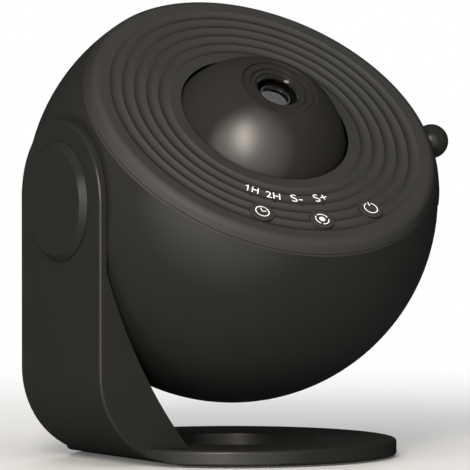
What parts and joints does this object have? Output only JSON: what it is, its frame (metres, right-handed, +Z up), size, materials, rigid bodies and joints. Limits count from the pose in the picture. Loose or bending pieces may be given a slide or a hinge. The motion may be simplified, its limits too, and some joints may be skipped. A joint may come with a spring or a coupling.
{
  "type": "planetarium projector",
  "caption": "Tabletop planetarium projector: tilting ball head with grooved face, focusing lens dome and pull-out film tray, on a bracket stand with a ring base.",
  "frame": {"origin": "on the floor plane at the axis of the base ring's hole, straight below the ball's centre", "axes": "+Z up, +X along the tilt pivot from the arm to the film tray's knob, -Y towards the user, whom the leaning front face looks at"},
  "size_m": [0.1388, 0.1329, 0.147],
  "materials": {
    "charcoal_plastic": "satin moulded",
    "button_plastic": "satin moulded, printed",
    "inner_plastic": "moulded",
    "barrel_plastic": "turned, semi-gloss",
    "gear_nylon": "moulded",
    "lens_glass": "polished",
    "film": "printed film",
    "indicator_lens": "smoked clear",
    "led_resin": "clear resin",
    "circuit_board": "solder mask",
    "aluminium": "milled",
    "brass": "turned",
    "steel": "zinc plated",
    "foot_rubber": "matt"
  },
  "bodies": {
    "stand": {"stand_shell": "charcoal_plastic", "ballast_ring": "steel", "base_cover": "inner_plastic", "base_screws": "steel", "foot_ring": "foot_rubber", "pivot_cap": "charcoal_plastic"},
    "dome": {"lens_dome": "charcoal_plastic"},
    "barrel": {"lens_barrel": "barrel_plastic", "front_lens": "lens_glass", "rear_lens": "lens_glass", "lens_spacer": "barrel_plastic", "barrel_ring": "barrel_plastic"},
    "tray": {"film_tray": "inner_plastic", "disc_retainer": "inner_plastic", "tray_front": "charcoal_plastic", "tray_knob": "charcoal_plastic", "knob_screw": "steel"},
    "disc": {"disc_rotor": "gear_nylon", "film_disc": "film", "film_clip": "steel"},
    "pinion": {"drive_pinion": "gear_nylon"},
    "timer": {"timer_button": "button_plastic"},
    "mode": {"mode_button": "button_plastic"},
    "power": {"power_button": "button_plastic"},
    "head": {"rear_shell": "charcoal_plastic", "front_cover": "charcoal_plastic", "lens_deck": "inner_plastic", "mid_frame": "inner_plastic", "lamp_tube": "inner_plastic", "key_switches": "inner_plastic", "friction_washer": "gear_nylon", "condenser_front": "lens_glass", "condenser_rear": "lens_glass", "indicator_pipes": "indicator_lens", "led_emitter": "led_resin", "indicator_leds": "led_resin", "main_board": "circuit_board", "key_board": "circuit_board", "board_parts": "circuit_board", "heat_sink": "aluminium", "led_board": "aluminium", "pivot_bush": "brass", "shell_screws": "steel", "deck_screws": "steel", "board_screws": "steel", "key_board_screws": "steel", "pivot_screw": "steel", "pivot_nut": "steel", "wave_washer": "steel", "drive_motor": "steel", "power_socket": "steel"}
  },
  "joints": [
    {"name": "head_tilt", "type": "hinge", "parent": "stand", "child": "head", "pos_m": [-0.0574, 0, 0.0842], "axis": [1, 0, 0], "continuous": true},
    {"name": "timer_press", "type": "slide", "parent": "head", "child": "timer", "axis": [0, 0.6428, -0.766], "range_m": [0, 0.0006], "stiffness_N_per_m": 2500, "springref_m": -0.0004},
    {"name": "mode_press", "type": "slide", "parent": "head", "child": "mode", "axis": [0, 0.6428, -0.766], "range_m": [0, 0.0006], "stiffness_N_per_m": 2500, "springref_m": -0.0004},
    {"name": "power_press", "type": "slide", "parent": "head", "child": "power", "axis": [0, 0.6428, -0.766], "range_m": [0, 0.0006], "stiffness_N_per_m": 2500, "springref_m": -0.0004},
    {"name": "dome_turn", "type": "hinge", "parent": "head", "child": "dome", "pos_m": [0, 0, 0.0842], "axis": [0, -0.6428, 0.766], "range_deg": [-90, 90]},
    {"name": "barrel_focus", "type": "slide", "parent": "head", "child": "barrel", "axis": [0, -0.6428, 0.766], "range_m": [-0.0015, 0.0015]},
    {"name": "tray_pull", "type": "slide", "parent": "head", "child": "tray", "axis": [1, 0, 0], "range_m": [0, 0.08]},
    {"name": "disc_spin", "type": "hinge", "parent": "tray", "child": "disc", "pos_m": [0, 0, 0.0842], "axis": [0, -0.6428, 0.766], "continuous": true},
    {"name": "pinion_spin", "type": "hinge", "parent": "head", "child": "pinion", "pos_m": [-0.0275, 0, 0.0842], "axis": [0, -0.6428, 0.766], "continuous": true}
  ],
  "couplings": [
    {"joint": "dome_turn", "follows": "barrel_focus", "rad_per_m": 1047.1},
    {"joint": "pinion_spin", "follows": "disc_spin", "ratio": -3.5833}
  ]
}
